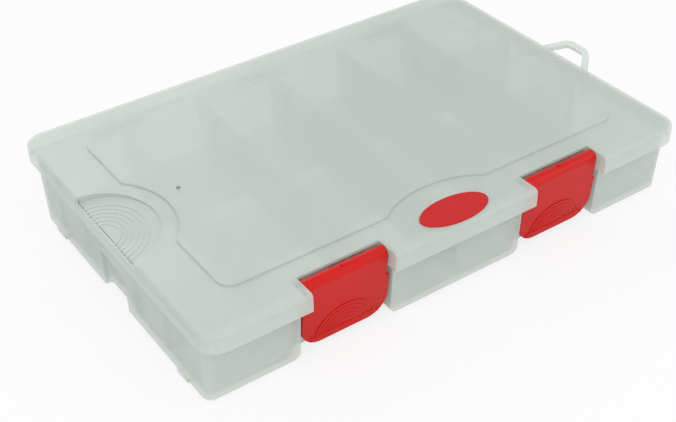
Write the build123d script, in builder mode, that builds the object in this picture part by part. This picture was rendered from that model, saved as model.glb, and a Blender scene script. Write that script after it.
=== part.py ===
"""Flat tackle box: a compartment tray, a hinged lid and two red snap latches.

Millimetres. X runs along the box with the hang loop at +X, the latches are at the
front (-Y), the hinge is at the back (+Y), and the round foot under the middle of
the tray has its face at the origin.
"""
import os
from math import atan, cos, degrees, hypot, radians, sin

from build123d import *

# Lid
lid_length = 356.0
lid_depth = 240.0
lid_height = 56.0
rim_height = 12.4
lid_wall = 1.8
lid_corner = 13.0
lid_edge_round = 2.6
panel_rise = 1.5
panel_length = 297.0
panel_depth = 179.0
panel_corner = 10.0
panel_edge_round = 0.9
panel_bend = 4.0

# Thumb scoop in the left end of the lid
scoop_reach = 34.0
scoop_half = 38.0
scoop_shallow = 1.2
scoop_deep = 4.8
scoop_border = 9.5
scoop_ridges = 6
scoop_ridge_first = 27.0
scoop_ridge_pitch = 3.3
scoop_ridge_width = 0.9
scoop_ridge_rise = 0.45

# Tray
tray_length = 351.2
tray_front = -113.1
tray_back = 106.5
front_draft = 3.1
back_draft = 3.0
tray_corner = 6.0
tray_wall = 1.8
tray_floor = 2.0
lid_gap = 0.3
inner_corner = 3.0
floor_round = 1.5
columns = 6
foot_height = 3.0
foot_length = 12.0
foot_width = 6.0
foot_offset = 81.0
middle_foot_radius = 12.0
block_round = 5.0

# Slots and loose dividers
slot_first = -62.3
slot_pitch = 34.8
slot_count = 5
rib_width = 1.0
rib_rise = 1.6
rib_top_drop = 5.0
divider_thickness = 1.3
divider_slack = 0.15
divider_top_gap = 0.8
usual_slots = (1, 3)
end_column_slots = (0, 3)

# Finger recess in the left end of the tray
finger_half = 15.5
finger_depth = 4.6
finger_height = 30.0

# Latches
latch_offset = 82.0
recess_half = 32.0
recess_wall_y = -100.0
latch_upper_half = 28.1
latch_lower_half = 30.0
latch_step_height = 36.0
latch_bottom = 6.6
latch_corner = 14.0
latch_thickness = 2.4
latch_rim = 4.0
latch_rim_thickness = 1.6
latch_lean = 4.6
pivot_y = -108.0
pivot_z = 51.2
barrel_radius = 4.6
latch_pin_radius = 1.5
latch_pin_length = 2.2
bore_clearance = 0.05
side_gap = 0.3
cheek_thickness = 3.2
cheek_depth = 17.0
cheek_round = 3.0
notch_gap = 0.6
strike_half = 24.0
strike_bottom = 12.3
strike_height = 3.0
strike_reach = 4.6
hook_gap = 0.3
hook_height = 2.6
latch_nub_radius = 1.8
latch_nub_rise = 0.8
grip_arcs = 5
grip_arc_first = 10.0
grip_arc_pitch = 3.0
grip_arc_width = 1.1
grip_arc_rise = 0.5

# Hinge
hinge_y = 116.5
hinge_z = 40.0
hinge_spacing = 112.0
hinge_count = 3
knuckle_radius = 3.4
knuckle_length = 12.0
knuckles_per_pin = 3
hinge_pin_radius = 1.2
hinge_web = 4.0

# Badge
badge_length = 49.0
badge_depth = 24.0
badge_y = -105.5
badge_sink = 0.5
badge_rise = 0.7
badge_edge_round = 0.4
badge_clearance = 0.15
badge_border_length = 90.0
badge_border_depth = 56.0

# Hang loop
loop_tilt = 22.0
loop_root_z = 38.2
loop_root_half = 36.0
loop_reach = 31.0
loop_end_half = 10.0
loop_corner = 11.0
loop_bar = 4.4
loop_thickness = 3.4

# Worked out from the sizes above
rim_bottom = lid_height - rim_height
lid_under = lid_height - lid_wall
tray_top = lid_under - lid_gap
floor_z = foot_height + tray_floor
front_low = tray_front + front_draft
back_low = tray_back - back_draft
inner_half = tray_length / 2 - tray_wall
column_width = (2 * inner_half - (columns - 1) * tray_wall) / columns
notch_half = latch_upper_half + side_gap
notch_back = pivot_y + barrel_radius + notch_gap
strike_front = recess_wall_y - strike_reach
scoop_slope = degrees(atan((scoop_deep - scoop_shallow) / scoop_reach))
latch_centres = (-latch_offset, latch_offset)
hinge_centres = [(i - (hinge_count - 1) / 2) * hinge_spacing for i in range(hinge_count)]


def front_at(z):
    """Outer front face of the tray at a height."""
    return front_low - front_draft * (z - foot_height) / (tray_top - foot_height)


def back_at(z):
    """Outer back face of the tray at a height."""
    return back_low + back_draft * (z - foot_height) / (tray_top - foot_height)


def column_left(index):
    """Left inner face of a column of compartments."""
    return -inner_half + index * (column_width + tray_wall)


def column_points(index, z):
    """Plan outline of one column at a height; it steps back behind a latch recess."""
    left = column_left(index)
    right = left + column_width
    front = front_at(z) + tray_wall
    back = back_at(z) - tray_wall
    inner_front = recess_wall_y + tray_wall
    cuts = [(c - recess_half - tray_wall, c + recess_half + tray_wall) for c in latch_centres]
    points = [(left, back)]
    left_cut = [cut for cut in cuts if cut[0] < left < cut[1]]
    right_cut = [cut for cut in cuts if cut[0] < right < cut[1]]
    if left_cut and right_cut:
        points += [(left, inner_front), (right, inner_front)]
    elif left_cut:
        step = left_cut[0][1]
        points += [(left, inner_front), (step, inner_front), (step, front), (right, front)]
    elif right_cut:
        step = right_cut[0][0]
        points += [(left, front), (step, front), (step, inner_front), (right, inner_front)]
    else:
        points += [(left, front), (right, front)]
    points.append((right, back))
    return points


# Sloped floor plane of the thumb scoop, with its local X along the box
scoop_floor = Plane(
    origin=(-lid_length / 2, 0, lid_height - scoop_deep),
    x_dir=(cos(radians(scoop_slope)), 0, sin(radians(scoop_slope))),
    z_dir=(-sin(radians(scoop_slope)), 0, cos(radians(scoop_slope))),
)

# Underside of the scoop, made first so that the lid can take it in
with BuildPart() as scoop_shell:
    with BuildSketch(Plane.XY.offset(rim_bottom)):
        with Locations((-lid_length / 2, 0)):
            Ellipse(scoop_reach + lid_wall, scoop_half + lid_wall)
        with Locations((-lid_length / 2 + scoop_reach, 0)):
            Rectangle(
                2 * (scoop_reach - lid_edge_round),
                2 * (scoop_half + 2 * lid_wall),
                mode=Mode.INTERSECT,
            )
    extrude(amount=rim_height - lid_wall / 2)
    split(bisect_by=scoop_floor.offset(-lid_wall), keep=Keep.TOP)

# Raised panel and the pocket under it: a rounded oblong that bends round the scoop and the badge
panel_pads = []
for inset, height in ((0, lid_wall + panel_rise), (lid_wall, panel_rise)):
    with BuildPart() as panel_pad:
        with BuildSketch(Plane.XY.offset(lid_under)) as panel_outline:
            RectangleRounded(panel_length - 2 * inset, panel_depth - 2 * inset, panel_corner - inset)
            with Locations((-lid_length / 2, 0)):
                Ellipse(
                    scoop_reach + scoop_border + inset,
                    scoop_half + scoop_border + inset,
                    mode=Mode.SUBTRACT,
                )
            with Locations((0, badge_y)):
                Ellipse(
                    badge_border_length / 2 + inset,
                    badge_border_depth / 2 + inset,
                    mode=Mode.SUBTRACT,
                )
            straight_half = panel_depth / 2 - 2 * panel_corner
            left_bends = panel_outline.vertices().filter_by(
                lambda v: abs(v.X + panel_length / 2 - inset) < 0.1 and abs(v.Y) < straight_half
            )
            front_bends = panel_outline.vertices().filter_by(
                lambda v: abs(v.Y + panel_depth / 2 - inset) < 0.1 and abs(v.X) < badge_border_length
            )
            fillet(left_bends + front_bends, panel_bend)
        extrude(amount=height)
    panel_pads.append(panel_pad)

# Lid: rounded shell with a skirt, a raised panel, the scoop and the latch cheeks
with BuildPart() as lid:
    with BuildSketch(Plane.XY.offset(rim_bottom)):
        RectangleRounded(lid_length, lid_depth, lid_corner)
    extrude(amount=rim_height)
    fillet(lid.faces().sort_by(Axis.Z)[-1].edges(), lid_edge_round)
    with BuildSketch(Plane.XY.offset(rim_bottom)):
        RectangleRounded(lid_length - 2 * lid_wall, lid_depth - 2 * lid_wall, lid_corner - lid_wall)
    extrude(amount=rim_height - lid_wall, mode=Mode.SUBTRACT)

    # Raised panel, with a pocket of the same outline under it
    add(panel_pads[0].part)
    fillet(lid.faces().sort_by(Axis.Z)[-1].edges(), panel_edge_round)
    add(panel_pads[1].part, mode=Mode.SUBTRACT)

    # Thumb scoop with its arc ridges
    add(scoop_shell.part)
    with BuildSketch(scoop_floor):
        Ellipse(scoop_reach, scoop_half)
    extrude(amount=2 * scoop_deep, mode=Mode.SUBTRACT)
    with BuildSketch(scoop_floor):
        for ridge in range(scoop_ridges):
            reach = scoop_ridge_first - ridge * scoop_ridge_pitch
            Ellipse(reach, reach * scoop_half / scoop_reach)
            Ellipse(
                reach - scoop_ridge_width,
                reach * scoop_half / scoop_reach - scoop_ridge_width,
                mode=Mode.SUBTRACT,
            )
    extrude(amount=scoop_ridge_rise)
    with BuildSketch(Plane.XY.offset(rim_bottom)):
        with Locations((-lid_length / 2 - scoop_reach / 2, 0)):
            Rectangle(scoop_reach, 2 * scoop_half)
    extrude(amount=rim_height, mode=Mode.SUBTRACT)

    # Shallow seat for the badge
    with BuildSketch(Plane.XY.offset(lid_height - badge_sink)):
        with Locations((0, badge_y)):
            Ellipse(badge_length / 2 + badge_clearance, badge_depth / 2 + badge_clearance)
    extrude(amount=panel_rise, mode=Mode.SUBTRACT)

    # Latch notches, with a cheek at each end that holds the latch pin
    for centre in latch_centres:
        with BuildSketch(Plane.XY.offset(rim_bottom)):
            with Locations((centre, notch_back)):
                Rectangle(2 * notch_half, lid_depth, align=(Align.CENTER, Align.MAX))
        extrude(amount=rim_height, mode=Mode.SUBTRACT)
        for side in (-1, 1):
            cheek_x = centre + side * (notch_half + cheek_thickness / 2)
            with BuildSketch(Plane.YZ.offset(cheek_x)) as cheek_outline:
                with Locations((-lid_depth / 2 + lid_wall / 2, lid_height - lid_wall / 2)):
                    Rectangle(cheek_depth, rim_height - lid_wall / 2, align=(Align.MIN, Align.MAX))
                fillet(cheek_outline.vertices().group_by(Axis.Y)[0], cheek_round)
            extrude(amount=cheek_thickness / 2, both=True)
            bore_end = centre + side * (notch_half + latch_pin_length)
            with BuildSketch(Plane.YZ.offset(bore_end)):
                with Locations((pivot_y, pivot_z)):
                    Circle(latch_pin_radius + bore_clearance)
            extrude(amount=-side * (latch_pin_length + side_gap), mode=Mode.SUBTRACT)

    # Hinge knuckles under the back skirt
    for centre in hinge_centres:
        with BuildSketch(Plane.YZ.offset(centre)):
            with Locations((hinge_y, hinge_z)):
                Circle(knuckle_radius)
            with Locations((hinge_y, hinge_z)):
                Rectangle(
                    lid_depth / 2 - hinge_y,
                    rim_bottom - hinge_z + lid_wall,
                    align=(Align.MIN, Align.MIN),
                )
        extrude(amount=knuckle_length / 2, both=True)
        with BuildSketch(Plane.YZ.offset(centre)):
            with Locations((hinge_y, hinge_z)):
                Circle(hinge_pin_radius + bore_clearance)
        extrude(amount=knuckle_length, both=True, mode=Mode.SUBTRACT)
lid.part.label = "lid"

# Tray: drafted outer form, columns cut from it, slots, feet and hinge knuckles
with BuildPart() as tray:
    for level in (foot_height, tray_top):
        with BuildSketch(Plane.XY.offset(level)):
            with Locations((0, (front_at(level) + back_at(level)) / 2)):
                RectangleRounded(tray_length, back_at(level) - front_at(level), tray_corner)
    loft()

    # Recesses for the two latches
    with BuildSketch(Plane.XY.offset(foot_height)):
        with Locations(*[(centre, recess_wall_y) for centre in latch_centres]):
            Rectangle(2 * recess_half, lid_depth, align=(Align.CENTER, Align.MAX))
    extrude(amount=tray_top, mode=Mode.SUBTRACT)
    block_edges = tray.edges().filter_by(Axis.Y).filter_by(
        lambda e: e.center().Z < foot_height + 0.1 and e.center().Y < recess_wall_y
    )
    fillet(block_edges, block_round)

    # Columns of compartments
    for index in range(columns):
        with BuildSketch(Plane.XY.offset(floor_z)) as low_outline:
            with BuildLine():
                Polyline(*column_points(index, floor_z), close=True)
            make_face()
            fillet(low_outline.vertices(), inner_corner)
        with BuildSketch(Plane.XY.offset(tray_top)) as high_outline:
            with BuildLine():
                Polyline(*column_points(index, tray_top), close=True)
            make_face()
            fillet(high_outline.vertices(), inner_corner)
        loft(mode=Mode.SUBTRACT)
    floor_faces = tray.faces().filter_by(Axis.Z).filter_by(lambda f: abs(f.center().Z - floor_z) < 0.01)
    fillet(floor_faces.edges(), floor_round)

    # Pairs of ribs that hold a divider upright
    rib_step = (divider_thickness + 2 * divider_slack + rib_width) / 2
    with BuildSketch(Plane.XY.offset(foot_height + tray_floor / 2)):
        for index in range(columns):
            for slot in range(slot_count):
                for side in (-1, 1):
                    rib_y = slot_first + slot * slot_pitch + side * rib_step
                    with Locations((column_left(index), rib_y)):
                        Rectangle(rib_rise, rib_width, align=(Align.MIN, Align.CENTER))
                    with Locations((column_left(index) + column_width, rib_y)):
                        Rectangle(rib_rise, rib_width, align=(Align.MAX, Align.CENTER))
    extrude(amount=tray_top - rib_top_drop - foot_height - tray_floor / 2)

    # Finger recess in the left end
    with BuildSketch(Plane.XY.offset(foot_height)):
        with Locations((-tray_length / 2 + tray_wall / 2, 0)):
            Rectangle(
                finger_depth + tray_wall / 2,
                2 * (finger_half + tray_wall),
                align=(Align.MIN, Align.CENTER),
            )
    extrude(amount=finger_height - foot_height + tray_wall)
    with BuildSketch(Plane.XY.offset(foot_height)) as finger_outline:
        with Locations((-tray_length / 2 + finger_depth, 0)):
            Rectangle(2 * finger_depth, 2 * finger_half, align=(Align.MAX, Align.CENTER))
        fillet(finger_outline.vertices().group_by(Axis.X)[-1], inner_corner)
    extrude(amount=finger_height - foot_height, mode=Mode.SUBTRACT)

    # The left end dips to clear the scoop
    with BuildSketch(Plane.XY.offset(lid_height - scoop_deep - lid_wall - 2 * lid_gap)):
        with Locations((-tray_length / 2, 0)):
            Rectangle(4 * tray_wall, 2 * (scoop_half + 2 * lid_wall))
    extrude(amount=lid_height, mode=Mode.SUBTRACT)

    # Strike ledges that the latches snap under
    with BuildSketch(Plane.XY.offset(strike_bottom)):
        with Locations(*[(centre, recess_wall_y + tray_wall / 2) for centre in latch_centres]):
            Rectangle(2 * strike_half, strike_reach + tray_wall / 2, align=(Align.CENTER, Align.MAX))
    extrude(amount=strike_height)

    # Feet
    with BuildSketch():
        with GridLocations(tray_length - foot_width, 2 * foot_offset, 2, 2):
            Rectangle(foot_width, foot_length)
        Circle(middle_foot_radius)
    extrude(amount=foot_height)

    # Hinge knuckles on webs from the back wall
    for centre in hinge_centres:
        for side in (-1, 1):
            knuckle_x = centre + side * (knuckle_length + side_gap)
            with BuildSketch(Plane.YZ.offset(knuckle_x)):
                with Locations((hinge_y, hinge_z)):
                    Circle(knuckle_radius)
                with Locations((hinge_y, hinge_z)):
                    Rectangle(
                        hinge_y - back_at(hinge_z) + tray_wall / 2,
                        hinge_web,
                        align=(Align.MAX, Align.CENTER),
                    )
            extrude(amount=knuckle_length / 2, both=True)
            with BuildSketch(Plane.YZ.offset(knuckle_x)):
                with Locations((hinge_y, hinge_z)):
                    Circle(hinge_pin_radius + bore_clearance)
            extrude(amount=knuckle_length, both=True, mode=Mode.SUBTRACT)
tray.part.label = "tray"

# Plan outline of the hang loop, on a plane that tilts up from the right end
loop_plane = Plane(
    origin=(tray_length / 2, 0, loop_root_z),
    x_dir=(cos(radians(loop_tilt)), 0, sin(radians(loop_tilt))),
    z_dir=(-sin(radians(loop_tilt)), 0, cos(radians(loop_tilt))),
)
loop_slope = (loop_root_half - loop_end_half) / loop_reach
with BuildPart() as hang_loop:
    with BuildSketch(loop_plane) as loop_outline:
        with BuildLine():
            Polyline(
                (-3 * loop_bar, loop_root_half + 3 * loop_slope * loop_bar),
                (loop_reach, loop_end_half),
                (loop_reach, -loop_end_half),
                (-3 * loop_bar, -loop_root_half - 3 * loop_slope * loop_bar),
                close=True,
            )
        make_face()
        fillet(loop_outline.vertices().group_by(Axis.X)[-1], loop_corner)
        offset(amount=-loop_bar, mode=Mode.SUBTRACT)
    extrude(amount=loop_thickness / 2, both=True)
    with BuildSketch(Plane.YZ.offset(tray_length / 2)):
        Rectangle(lid_depth, 2 * lid_height)
    extrude(amount=-6 * loop_bar, mode=Mode.SUBTRACT)
hang_loop.part.label = "hang_loop"

# Loose dividers, standing on the floor between the ribs
dividers = []
for index in range(columns):
    slots = end_column_slots if index == 0 else usual_slots
    for slot in slots:
        divider_y = slot_first + slot * slot_pitch
        with BuildPart() as divider:
            with BuildSketch(Plane.XZ.offset(-divider_y - divider_thickness / 2)) as divider_outline:
                with Locations((column_left(index) + column_width / 2, floor_z)):
                    Rectangle(
                        column_width - 2 * divider_slack,
                        tray_top - divider_top_gap - floor_z,
                        align=(Align.CENTER, Align.MIN),
                    )
                fillet(divider_outline.vertices().group_by(Axis.Y)[0], floor_round + divider_slack)
            extrude(amount=divider_thickness)
        divider.part.label = f"divider_{index + 1}_{slot + 1}"
        dividers.append(divider.part)

# Front face of a latch, which leans back towards its foot
face_top = (pivot_y - barrel_radius, pivot_z)
face_foot = (pivot_y - barrel_radius + latch_lean, latch_bottom)
face_length = hypot(face_foot[0] - face_top[0], face_foot[1] - face_top[1])
face_up = ((face_top[0] - face_foot[0]) / face_length, (face_top[1] - face_foot[1]) / face_length)

# Latches: a barrel on two stub pins, a leaning plate with side rims and a hook
latches = []
for name, centre in (("latch_left", -latch_offset), ("latch_right", latch_offset)):
    with BuildPart() as latch:
        with BuildSketch(Plane.YZ.offset(centre)):
            with BuildLine():
                Polyline(
                    face_top,
                    face_foot,
                    (face_foot[0] + latch_thickness, face_foot[1]),
                    (face_top[0] + latch_thickness, face_top[1]),
                    close=True,
                )
            make_face()
        extrude(amount=latch_lower_half, both=True)
        with BuildSketch(Plane.YZ.offset(centre)):
            with Locations((strike_front - hook_gap, strike_bottom - hook_gap)):
                Rectangle(latch_rim, hook_height, align=(Align.MAX, Align.MAX))
        extrude(amount=strike_half, both=True)
        for side in (-1, 1):
            with BuildSketch(Plane.YZ.offset(centre + side * latch_lower_half)):
                with BuildLine():
                    Polyline(
                        face_top,
                        face_foot,
                        (face_foot[0] + latch_rim, face_foot[1]),
                        (face_top[0] + latch_rim, face_top[1]),
                        close=True,
                    )
                make_face()
            rim_band = latch_rim_thickness + latch_lower_half - latch_upper_half
            extrude(amount=-side * rim_band)
        with BuildSketch(Plane.XZ) as latch_outline:
            with BuildLine():
                Polyline(
                    (centre - latch_upper_half, lid_height),
                    (centre - latch_upper_half, latch_step_height),
                    (centre - latch_lower_half, latch_step_height),
                    (centre - latch_lower_half, latch_bottom),
                    (centre + latch_lower_half, latch_bottom),
                    (centre + latch_lower_half, latch_step_height),
                    (centre + latch_upper_half, latch_step_height),
                    (centre + latch_upper_half, lid_height),
                    close=True,
                )
            make_face()
            fillet(latch_outline.vertices().group_by(Axis.Y)[0], latch_corner)
        extrude(amount=lid_depth, mode=Mode.INTERSECT)
        with BuildSketch(Plane.YZ.offset(centre)):
            with Locations((pivot_y, pivot_z)):
                Circle(barrel_radius)
        extrude(amount=latch_upper_half, both=True)
        with BuildSketch(Plane.YZ.offset(centre)):
            with Locations((pivot_y, pivot_z)):
                Circle(latch_pin_radius)
        extrude(amount=latch_upper_half + latch_pin_length - side_gap, both=True)

        # Moulding nub on top and finger arcs low on the face
        with BuildSketch(Plane.XY.offset(pivot_z)):
            with Locations((centre, pivot_y)):
                Circle(latch_nub_radius)
        extrude(amount=barrel_radius + latch_nub_rise)
        face_plane = Plane(
            origin=(centre, face_foot[0], face_foot[1]),
            x_dir=(1, 0, 0),
            z_dir=(0, -face_up[1], face_up[0]),
        )
        with BuildSketch(face_plane):
            for arc in range(grip_arcs):
                arc_radius = grip_arc_first + arc * grip_arc_pitch
                Circle(arc_radius)
                Circle(arc_radius - grip_arc_width, mode=Mode.SUBTRACT)
            with Locations((0, grip_arc_first / 2)):
                Rectangle(
                    2 * latch_lower_half,
                    latch_step_height,
                    align=(Align.CENTER, Align.MIN),
                    mode=Mode.INTERSECT,
                )
        extrude(amount=grip_arc_rise)
    latch.part.label = name
    latches.append(latch.part)

# Bare oval badge set into the front border of the lid
with BuildPart() as badge:
    with BuildSketch(Plane.XY.offset(lid_height - badge_sink)):
        with Locations((0, badge_y)):
            Ellipse(badge_length / 2, badge_depth / 2)
    extrude(amount=badge_sink + badge_rise)
    fillet(badge.faces().sort_by(Axis.Z)[-1].edges(), badge_edge_round)
badge.part.label = "badge"

# Hinge pins, one through each set of knuckles
pins = []
for name, centre in zip(("hinge_pin_left", "hinge_pin_middle", "hinge_pin_right"), hinge_centres):
    with BuildPart() as pin:
        with BuildSketch(Plane.YZ.offset(centre)):
            with Locations((hinge_y, hinge_z)):
                Circle(hinge_pin_radius)
        extrude(amount=knuckles_per_pin * knuckle_length / 2, both=True)
    pin.part.label = name
    pins.append(pin.part)

os.makedirs("parts", exist_ok=True)
for piece in [lid.part, tray.part, hang_loop.part, badge.part] + dividers + latches + pins:
    export_step(piece, f"parts/{piece.label}.step")
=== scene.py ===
# %% [markdown]
# # A frosted tackle box
#
# The box is a moulded tray with six columns of compartments, a lid that turns on
# pins at the back, two red latches and a red oval badge. The solids come from a
# imported frame, already at their real size and place. This lesson gives them their
# finishes, adds the small marks that moulding leaves, and sets up light and camera.
#
# The frame is loaded first, with a helper that reads the box of any of its parts.

# %% Load the frame
from math import asin, cos, pi, radians, sin

import bmesh
import bpy
from mathutils import Matrix, Vector


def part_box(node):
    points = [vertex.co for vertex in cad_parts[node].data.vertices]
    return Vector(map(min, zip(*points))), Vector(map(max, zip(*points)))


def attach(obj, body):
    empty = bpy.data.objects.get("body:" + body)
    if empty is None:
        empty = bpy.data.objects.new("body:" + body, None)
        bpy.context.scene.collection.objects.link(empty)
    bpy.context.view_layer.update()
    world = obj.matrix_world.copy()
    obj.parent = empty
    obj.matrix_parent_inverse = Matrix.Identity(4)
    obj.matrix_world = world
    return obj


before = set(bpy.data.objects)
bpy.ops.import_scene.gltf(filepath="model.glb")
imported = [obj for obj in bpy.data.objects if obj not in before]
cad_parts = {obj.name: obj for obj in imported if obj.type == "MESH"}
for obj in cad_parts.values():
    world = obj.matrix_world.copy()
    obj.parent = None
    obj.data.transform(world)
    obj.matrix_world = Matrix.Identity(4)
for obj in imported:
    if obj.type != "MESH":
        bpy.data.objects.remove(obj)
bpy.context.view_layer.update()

# %% [markdown]
# ## Colours
#
# The tray and lid are unpigmented polypropylene, which is milky with a faint green
# cast. A picture gives colours as 0 to 255 in sRGB, while a shader wants linear
# light, so one helper does the conversion. Writing colours this way keeps them easy
# to compare with a photograph.

# %% Colour helper
def linear(red, green, blue):
    """sRGB values from 0 to 255 as a linear colour with full alpha."""
    channels = []
    for value in (red, green, blue):
        share = value / 255
        channels.append(share / 12.92 if share <= 0.04045 else ((share + 0.055) / 1.055) ** 2.4)
    return (*channels, 1.0)


milky = linear(220, 229, 222)
milky_thin = linear(226, 232, 227)
latch_red = linear(204, 26, 22)
badge_red = linear(200, 24, 22)
wire_grey = linear(176, 178, 180)
speck_grey = linear(118, 128, 120)
print("milky", [round(c, 3) for c in milky])

# %% [markdown]
# ## Plastic finishes
#
# Every moulded surface has a fine grain from the mould and a slow drift in tone where
# the melt flowed. Both are noise on Object coordinates: a coarse one mixes two close
# tones, and a fine one drives a very small bump. A picture texture would need UVs and
# a file, while noise follows the solid everywhere.

# %% Moulded plastic
polymer_ior = 1.49
flow_scale = 14.0
grain_strength = 0.6


def moulded_plastic(name, colour, drift, roughness, grain_size, grain_depth):
    """A plastic whose tone drifts slowly and whose surface has the mould's grain."""
    material = bpy.data.materials.new(name)
    material.use_nodes = True
    nodes = material.node_tree.nodes
    links = material.node_tree.links
    shader = nodes["Principled BSDF"]
    shader.inputs["Roughness"].default_value = roughness
    shader.inputs["IOR"].default_value = polymer_ior
    place = nodes.new("ShaderNodeTexCoord")

    flow = nodes.new("ShaderNodeTexNoise")
    flow.inputs["Scale"].default_value = flow_scale
    flow.inputs["Detail"].default_value = 3.0
    links.new(place.outputs["Object"], flow.inputs["Vector"])
    tones = nodes.new("ShaderNodeValToRGB")
    tones.color_ramp.elements[0].position = 0.3
    tones.color_ramp.elements[1].position = 0.7
    tones.color_ramp.elements[0].color = [c * (1 - drift) for c in colour[:3]] + [1.0]
    tones.color_ramp.elements[1].color = [min(c * (1 + drift), 1.0) for c in colour[:3]] + [1.0]
    links.new(flow.outputs["Fac"], tones.inputs["Fac"])
    links.new(tones.outputs["Color"], shader.inputs["Base Color"])

    grain = nodes.new("ShaderNodeTexNoise")
    grain.inputs["Scale"].default_value = 1.0 / grain_size
    grain.inputs["Detail"].default_value = 2.0
    links.new(place.outputs["Object"], grain.inputs["Vector"])
    bump = nodes.new("ShaderNodeBump")
    bump.inputs["Distance"].default_value = grain_depth
    bump.inputs["Strength"].default_value = grain_strength
    links.new(grain.outputs["Fac"], bump.inputs["Height"])
    links.new(bump.outputs["Normal"], shader.inputs["Normal"])
    return material, shader


# %% [markdown]
# ## The frosted body
#
# The lid lets through a faint view of the walls behind it. Rough transmission would be nearer to the
# real physics, but with this many frosted layers in line it turns nearly opaque. Instead the shader
# stays a milky solid that is partly see-through.
# Its alpha is how much each face hides of what lies behind it. A wall has two faces,
# so about half on each already looks milky. The dividers are thinner and hide less.

# %% Frosted body and dividers
frosted_drift = 0.015
frosted_roughness = 0.36
frosted_grain = 0.0011
frosted, frosted_shader = moulded_plastic(
    "frosted_plastic", milky, frosted_drift, frosted_roughness, frosted_grain, grain_depth=0.00004
)
frosted_shader.inputs["Alpha"].default_value = 0.54
thin_frosted, thin_shader = moulded_plastic(
    "divider_plastic", milky_thin, frosted_drift, frosted_roughness, frosted_grain, grain_depth=0.00003
)
thin_shader.inputs["Alpha"].default_value = 0.4
print("body finishes", frosted.name, thin_frosted.name)

# %% [markdown]
# ## The red latches and badge
#
# The latches are solid red with a smooth, slightly soft shine. The badge is flatter
# and glossier, like a lacquered insert, so it gets a thin clear coat. Both use the
# same recipe as the body with other numbers. Their specular level is low, because a
# white reflection over a deep red turns it pink.

# %% Red finishes
latch_plastic, latch_shader = moulded_plastic(
    "latch_plastic", latch_red, drift=0.04, roughness=0.33, grain_size=0.0016, grain_depth=0.00003
)
badge_plastic, badge_shader = moulded_plastic(
    "badge_plastic", badge_red, drift=0.02, roughness=0.28, grain_size=0.004, grain_depth=0.00001
)
for red_shader in (latch_shader, badge_shader):
    red_shader.inputs["Specular IOR Level"].default_value = 0.25
badge_shader.inputs["Coat Weight"].default_value = 0.15
badge_shader.inputs["Coat Roughness"].default_value = 0.15
print("red finishes", latch_plastic.name, badge_plastic.name)

# %% [markdown]
# ## Hinge wire
#
# The hinge pins are drawn wire. Drawing leaves fine lines along the wire, so a noise
# that is stretched along X varies the roughness.

# %% Drawn wire
pin_wire = bpy.data.materials.new("pin_wire")
pin_wire.use_nodes = True
wire_nodes = pin_wire.node_tree.nodes
wire_links = pin_wire.node_tree.links
wire_shader = wire_nodes["Principled BSDF"]
wire_shader.inputs["Base Color"].default_value = wire_grey
wire_shader.inputs["Metallic"].default_value = 1.0
wire_place = wire_nodes.new("ShaderNodeTexCoord")
wire_stretch = wire_nodes.new("ShaderNodeMapping")
wire_stretch.inputs["Scale"].default_value = (40.0, 2500.0, 2500.0)
wire_lines = wire_nodes.new("ShaderNodeTexNoise")
wire_lines.inputs["Scale"].default_value = 1.0
wire_range = wire_nodes.new("ShaderNodeMapRange")
wire_range.inputs["To Min"].default_value = 0.22
wire_range.inputs["To Max"].default_value = 0.42
wire_links.new(wire_place.outputs["Object"], wire_stretch.inputs["Vector"])
wire_links.new(wire_stretch.outputs["Vector"], wire_lines.inputs["Vector"])
wire_links.new(wire_lines.outputs["Fac"], wire_range.inputs["Value"])
wire_links.new(wire_range.outputs["Result"], wire_shader.inputs["Roughness"])
print("wire", pin_wire.name)

# %% [markdown]
# ## Which node gets which finish
#
# The solids keep their meshes. Only the material in their slots is changed, by the
# start of the node's name.

# %% Dress the solids
finishes = {
    "tray": frosted,
    "lid": frosted,
    "hang_loop": frosted,
    "divider": thin_frosted,
    "latch": latch_plastic,
    "badge": badge_plastic,
    "hinge_pin": pin_wire,
}
for node_name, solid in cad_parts.items():
    finish = next(mat for start, mat in finishes.items() if node_name.startswith(start))
    for material_slot in solid.material_slots:
        material_slot.material = finish
print("dressed", len(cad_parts), "nodes")

# %% [markdown]
# ## Gate and ejector marks
#
# Molten plastic enters the mould through a gate, which leaves a small dot, and pins
# push the finished piece out, which leaves shallow discs. Each mark is a flat disc
# with a bevelled edge, sunk part of the way into the surface that it sits on. One
# helper makes both kinds, for an upper face or an underside.

# %% Mark helper
sharp_angle = 1.0
bevel_share = 0.45
lift_share = 0.2


def moulding_mark(name, centre, radius, rise, facing, finish, body):
    """A low round mark; facing is 1 on an upper face and -1 on an underside."""
    mark = bmesh.new()
    bmesh.ops.create_cone(
        mark, cap_ends=True, segments=40, radius1=radius, radius2=radius, depth=2 * rise
    )
    rims = [
        edge for edge in mark.edges if edge.is_manifold and edge.calc_face_angle(0.0) > sharp_angle
    ]
    bmesh.ops.bevel(
        mark,
        geom=rims,
        offset=rise * bevel_share,
        segments=3,
        profile=0.5,
        affect="EDGES",
        material=-1,
    )
    lift = Vector((0, 0, facing * rise * lift_share))
    bmesh.ops.translate(mark, verts=mark.verts, vec=Vector(centre) + lift)
    mesh = bpy.data.meshes.new(name)
    mark.to_mesh(mesh)
    mark.free()
    mesh.materials.append(finish)
    piece = bpy.data.objects.new(name, mesh)
    bpy.context.scene.collection.objects.link(piece)
    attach(piece, body)
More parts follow.
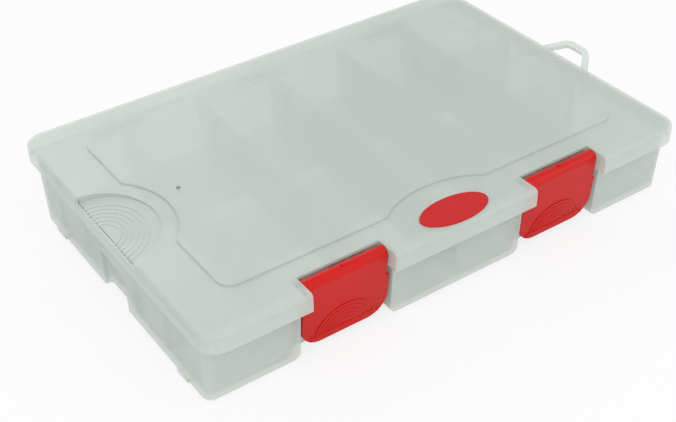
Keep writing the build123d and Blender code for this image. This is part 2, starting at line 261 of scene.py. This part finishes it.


# %% [markdown]
# ## Where the marks go
#
# A small grey dot shows on the lid's panel, left of the middle, so it is placed at that spot and on
# the panel's own height. The underside isn't seen. One ejector mark under each half of every column is
# usual for a tray like this.

# %% Gate mark on the lid
speck = moulded_plastic(
    "gate_speck", speck_grey, drift=0.15, roughness=0.5, grain_size=0.0004, grain_depth=0.00003
)[0]
lid_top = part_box("lid")[1][2]
gate_spot = (-0.1225, 0.009, lid_top)
gate_radius = 0.0013
gate_rise = 0.0002
moulding_mark(
    "lid_gate_mark", gate_spot, gate_radius, gate_rise, 1, speck, "lid_body"
)
print("gate mark at", [round(value, 4) for value in gate_spot])

# %% Ejector marks under the tray
tray_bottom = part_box("tray")[0][2]
tray_underside = 0.003
column_pitch = 0.0582
column_count = 6
ejector_radius = 0.0035
ejector_rise = 0.00015
for row, mark_y in enumerate((-0.055, 0.055)):
    for column in range(column_count):
        mark_x = column_pitch * (column - (column_count - 1) / 2)
        moulding_mark(
            f"ejector_mark_{row + 1}_{column + 1}",
            (mark_x, mark_y, tray_underside),
            ejector_radius,
            ejector_rise,
            -1,
            frosted,
            "tray_body",
        )
print("ejector marks", 2 * column_count, "tray bottom", tray_bottom)

# %% [markdown]
# ## Finger ridges on the latches
#
# Low on each latch are five concentric arcs that give a fingertip something to grip.
# The solid has the outermost one. The four inside it are half-round ridges: a small
# oval profile is spun about the centre of the arcs and its two ends are closed. A
# bump in the material would vanish at a low angle, while a real ridge catches the
# light as the moulding does.
#
# The ridges are made flat and then laid on the latch's leaning face. That face is
# given by its foot and its top, and a matrix with the face's own directions as its
# columns carries the flat set there.

# %% The leaning face of a latch
latch_x = 0.082
face_foot = Vector((0.0, -0.108, 0.0066))
face_top = Vector((0.0, -0.1126, 0.0512))
face_up = (face_top - face_foot).normalized()
face_out = Vector((1.0, 0.0, 0.0)).cross(face_up)
print("face leans", [round(value, 4) for value in face_out])

# %% One ridge
ridge_half_width = 0.00055
ridge_rise = 0.00045
ridge_start = 0.005
profile_points = 14
ridge_steps = 36


def add_ridge(ridges, radius):
    """Spin a small oval about the origin, from just above the face's foot on each side."""
    start_angle = asin(ridge_start / radius)
    upright = Matrix.Rotation(pi / 2, 3, "X")
    to_start = Matrix.Rotation(start_angle, 3, "Z")
    circle = bmesh.ops.create_circle(ridges, cap_ends=False, segments=profile_points, radius=1.0)
    profile = circle["verts"]
    bmesh.ops.scale(ridges, verts=profile, vec=(ridge_half_width, ridge_rise, 1.0))
    bmesh.ops.rotate(ridges, verts=profile, cent=(0, 0, 0), matrix=upright)
    bmesh.ops.translate(ridges, verts=profile, vec=(radius, 0, 0))
    bmesh.ops.rotate(ridges, verts=profile, cent=(0, 0, 0), matrix=to_start)
    profile_edges = list({edge for vert in profile for edge in vert.link_edges})
    bmesh.ops.spin(
        ridges,
        geom=profile + profile_edges,
        cent=(0, 0, 0),
        axis=(0, 0, 1),
        angle=pi - 2 * start_angle,
        steps=ridge_steps,
    )


# %% Ridges on both latches
ridge_radii = (0.00945, 0.01245, 0.01545, 0.01845)
for side_name, centre_x in (("left", -latch_x), ("right", latch_x)):
    ridges = bmesh.new()
    for radius in ridge_radii:
        add_ridge(ridges, radius)
    open_ends = [edge for edge in ridges.edges if edge.is_boundary]
    bmesh.ops.holes_fill(ridges, edges=open_ends)
    bmesh.ops.recalc_face_normals(ridges, faces=ridges.faces)
    lay = Matrix((Vector((1, 0, 0)), face_up, face_out)).transposed().to_4x4()
    lay.translation = face_foot + Vector((centre_x, 0, 0))
    ridges.transform(lay)
    ridge_mesh = bpy.data.meshes.new(f"latch_{side_name}_ridges")
    ridges.to_mesh(ridge_mesh)
    ridges.free()
    ridge_mesh.polygons.foreach_set("use_smooth", [True] * len(ridge_mesh.polygons))
    ridge_mesh.materials.append(latch_plastic)
    ridge_piece = bpy.data.objects.new(f"latch_{side_name}_ridges", ridge_mesh)
    bpy.context.scene.collection.objects.link(ridge_piece)
    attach(ridge_piece, f"latch_{side_name}_body")
    print(ridge_piece.name, len(ridge_mesh.polygons), "faces")

# %% [markdown]
# ## Floor
#
# The photograph has a plain white ground. The floor lies just under the feet. To the
# light it is a pale matt sheet. To the camera it is mostly plain white, mixed with a
# share of that sheet, so the ground looks white and still keeps the box's shadow.

# %% Floor
floor_mesh = bpy.data.meshes.new("floor")
floor_shape = bmesh.new()
floor_half = 6.0
bmesh.ops.create_grid(floor_shape, x_segments=1, y_segments=1, size=floor_half)
floor_shape.to_mesh(floor_mesh)
floor_shape.free()
floor = bpy.data.objects.new("floor", floor_mesh)
bpy.context.scene.collection.objects.link(floor)
floor_gap = 0.0002
floor.location = (0, 0, tray_bottom - floor_gap)
floor_paint = bpy.data.materials.new("floor_paint")
floor_paint.use_nodes = True
floor_nodes = floor_paint.node_tree.nodes
floor_links = floor_paint.node_tree.links
floor_shader = floor_nodes["Principled BSDF"]
floor_shader.inputs["Base Color"].default_value = (0.9, 0.9, 0.9, 1.0)
floor_shader.inputs["Roughness"].default_value = 0.9
floor_shader.inputs["Specular IOR Level"].default_value = 0.0
floor_glow = floor_nodes.new("ShaderNodeEmission")
floor_ray = floor_nodes.new("ShaderNodeLightPath")
floor_share = floor_nodes.new("ShaderNodeMapRange")
floor_share.inputs["To Max"].default_value = 0.8
floor_mix = floor_nodes.new("ShaderNodeMixShader")
floor_links.new(floor_ray.outputs["Is Camera Ray"], floor_share.inputs["Value"])
floor_links.new(floor_share.outputs["Result"], floor_mix.inputs["Fac"])
floor_links.new(floor_shader.outputs["BSDF"], floor_mix.inputs[1])
floor_links.new(floor_glow.outputs["Emission"], floor_mix.inputs[2])
floor_links.new(floor_mix.outputs["Shader"], floor_nodes["Material Output"].inputs["Surface"])
floor_mesh.materials.append(floor_paint)
print("floor at", round(floor.location.z, 4))

# %% [markdown]
# ## World
#
# The world gives the even light of a white tent. It is full white to the camera and
# weaker to everything else, so that a white background doesn't wash out the box.

# %% World
world = bpy.data.worlds.new("studio")
bpy.context.scene.world = world
world.use_nodes = True
world_nodes = world.node_tree.nodes
world_links = world.node_tree.links
sky = world_nodes["Background"]
sky.inputs["Color"].default_value = (1.0, 1.0, 1.0, 1.0)
ray = world_nodes.new("ShaderNodeLightPath")
level = world_nodes.new("ShaderNodeMapRange")
level.inputs["To Min"].default_value = 0.62
level.inputs["To Max"].default_value = 1.0
world_links.new(ray.outputs["Is Camera Ray"], level.inputs["Value"])
world_links.new(level.outputs["Result"], sky.inputs["Strength"])
print("world strength", level.inputs["To Min"].default_value)

# %% [markdown]
# ## Lamps
#
# Three broad lamps keep the shading soft: the strongest above the left front, a
# weaker one from the right, and one behind that lights the back and shines through
# the frosted walls.

# %% Lamps
def soft_lamp(name, place, aim, size, power):
    """A square area lamp that points from place towards aim."""
    lamp = bpy.data.lights.new(name, "AREA")
    lamp.shape = "SQUARE"
    lamp.size = size
    lamp.energy = power
    holder = bpy.data.objects.new(name, lamp)
    holder.location = place
    holder.rotation_euler = (Vector(aim) - Vector(place)).to_track_quat("-Z", "Y").to_euler()
    bpy.context.scene.collection.objects.link(holder)


soft_lamp("key", (-0.9, -0.9, 1.5), (0, 0, 0), 1.3, 14.0)
soft_lamp("fill", (1.3, -1.0, 0.9), (0, 0, 0), 1.2, 5.0)
soft_lamp("back", (0.2, 1.4, 1.0), (0, 0, 0.03), 1.0, 5.0)

# %% [markdown]
# ## Camera
#
# The camera stands where the photograph's straight edges meet it: to the left, in
# front and above. Its aim point, distance and angles were solved from the corners of
# the lid and tray, so the box fills the frame as it does in the photograph.

# %% Camera
azimuth = radians(-34.208)
elevation = radians(36.955)
roll = radians(-1.172)
distance = 0.767345
aim = Vector((-0.034682, -0.034241, 0.027))
focal_pixels = 1213.14
image_width = 676

back = Vector((sin(azimuth) * cos(elevation), -cos(azimuth) * cos(elevation), sin(elevation)))
right = (-back).cross(Vector((0, 0, 1))).normalized()
up = right.cross(-back)
tilted_right = right * cos(roll) + up * sin(roll)
tilted_up = up * cos(roll) - right * sin(roll)
turn = Matrix((tilted_right, tilted_up, back)).transposed().to_4x4()

lens = bpy.data.cameras.new("camera")
lens.sensor_width = 36.0
lens.lens = focal_pixels / image_width * lens.sensor_width
lens.clip_start = 0.01
camera = bpy.data.objects.new("camera", lens)
camera.matrix_world = Matrix.Translation(aim + back * distance) @ turn
bpy.context.scene.collection.objects.link(camera)
bpy.context.scene.camera = camera
bpy.context.scene.view_settings.view_transform = "Standard"
print("lens", round(lens.lens, 2))
